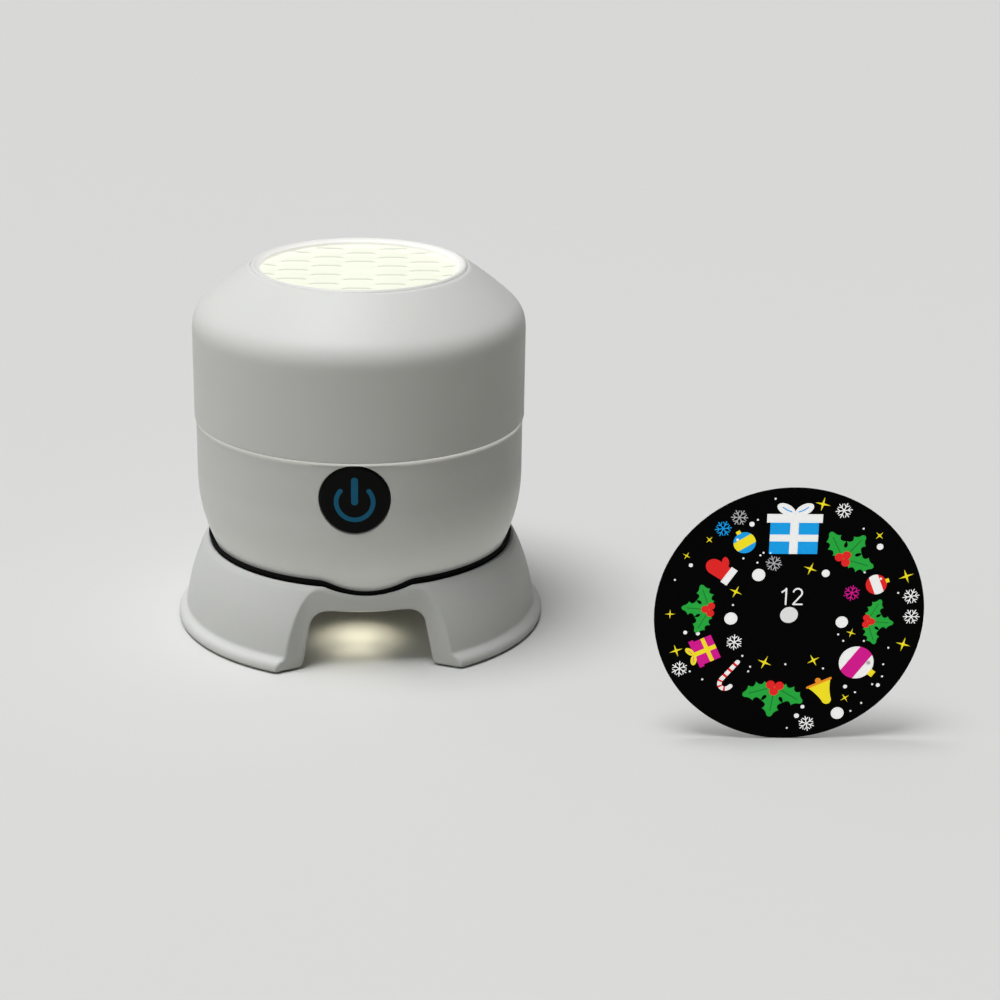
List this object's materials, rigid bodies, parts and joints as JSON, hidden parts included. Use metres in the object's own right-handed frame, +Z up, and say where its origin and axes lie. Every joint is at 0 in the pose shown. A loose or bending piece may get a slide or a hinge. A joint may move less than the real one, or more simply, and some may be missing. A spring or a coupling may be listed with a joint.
{
  "type": "rotating projector lamp",
  "caption": "Round lift-top projector lamp with a honeycomb lens and a motor-turned picture disc, resting in a two-arched ring stand, with a spare disc beside it.",
  "frame": {"origin": "on the table, at the middle of the footprint of the set (the lamp in its stand and the spare disc beside it); the lamp's own axis is vertical at x -0.05027, y 0.02069", "axes": "+Z up along the lamp's axis; the power button faces -Y; +X runs from the lamp towards the spare disc"},
  "size_m": [0.2134, 0.1442, 0.1114],
  "materials": {
    "white_plastic": "satin moulded",
    "inner_white": "moulded",
    "clear_plastic": "clear acrylic",
    "glowing_lens": "moulded acrylic, lit from inside",
    "black_rubber": "matt",
    "black_gloss": "glossy",
    "film_black": "printed film",
    "steel": "plated",
    "brass": "turned",
    "gear_plastic": "moulded acetal",
    "board_green": "solder mask",
    "board_white": "solder mask",
    "led_yellow": "phosphor under clear dome",
    "battery_wrap": "shrink sleeve",
    "chip_black": "moulded epoxy"
  },
  "bodies": {
    "stand": {"stand": "white_plastic", "seat_lining": "black_rubber", "foot_pad_left": "black_rubber", "foot_pad_right": "black_rubber", "spare_disc": "film_black"},
    "lamp": {"lower_shell": "white_plastic", "bottom_window": "glowing_lens", "glow_ring": "inner_white", "base_light_board": "board_white", "base_led_1": "led_yellow", "base_led_2": "led_yellow", "base_led_3": "led_yellow", "base_led_4": "led_yellow", "battery": "battery_wrap", "battery_tray": "inner_white", "deck": "inner_white", "deck_screw_1": "steel", "deck_screw_2": "steel", "deck_screw_3": "steel", "deck_screw_4": "steel", "main_board": "board_green", "control_chip": "chip_black", "usb_socket": "steel", "motor": "steel", "motor_screw_1": "steel", "motor_screw_2": "steel", "idler_axle": "steel", "spindle_bush": "brass", "board_post_1": "inner_white", "board_post_2": "inner_white", "board_post_3": "inner_white", "led_board": "board_white", "led_1": "led_yellow", "led_2": "led_yellow", "led_3": "led_yellow", "led_4": "led_yellow", "led_5": "led_yellow", "led_6": "led_yellow", "reflector": "inner_white", "tact_switch": "chip_black", "switch_board": "board_green", "switch_bracket": "steel"},
    "cover": {"upper_shell": "white_plastic", "lens_bezel": "white_plastic", "honeycomb_lens": "glowing_lens"},
    "disc_carrier": {"turntable": "clear_plastic", "fitted_disc": "film_black", "hub_cap": "inner_white", "spindle": "steel", "hub_gear": "gear_plastic"},
    "reduction": {"reduction_gear": "gear_plastic"},
    "pinion": {"motor_pinion": "brass", "motor_shaft": "steel"},
    "button": {"button_cap": "black_gloss", "switch_plunger": "black_gloss"}
  },
  "joints": [
    {"name": "lamp_swivel", "type": "hinge", "parent": "stand", "child": "lamp", "pos_m": [-0.05027, 0.02069, 0], "axis": [0, 0, 1], "continuous": true},
    {"name": "cover_lift", "type": "slide", "parent": "lamp", "child": "cover", "axis": [0, 0, 1], "range_m": [0, 0.06]},
    {"name": "disc_spin", "type": "hinge", "parent": "lamp", "child": "disc_carrier", "pos_m": [-0.05027, 0.02069, 0.085], "axis": [0, 0, 1], "continuous": true},
    {"name": "reduction_spin", "type": "hinge", "parent": "lamp", "child": "reduction", "pos_m": [-0.07187, 0.02069, 0.064], "axis": [0, 0, 1], "continuous": true},
    {"name": "pinion_spin", "type": "hinge", "parent": "lamp", "child": "pinion", "pos_m": [-0.07843, 0.03873, 0.064], "axis": [0, 0, 1], "continuous": true},
    {"name": "power_button", "type": "slide", "parent": "lamp", "child": "button", "axis": [0, 1, 0], "range_m": [0, 0.001], "stiffness_N_per_m": 1500, "springref_m": -0.0005}
  ],
  "couplings": [
    {"joint": "reduction_spin", "follows": "disc_spin", "ratio": -3.5},
    {"joint": "pinion_spin", "follows": "disc_spin", "ratio": 10.5}
  ]
}
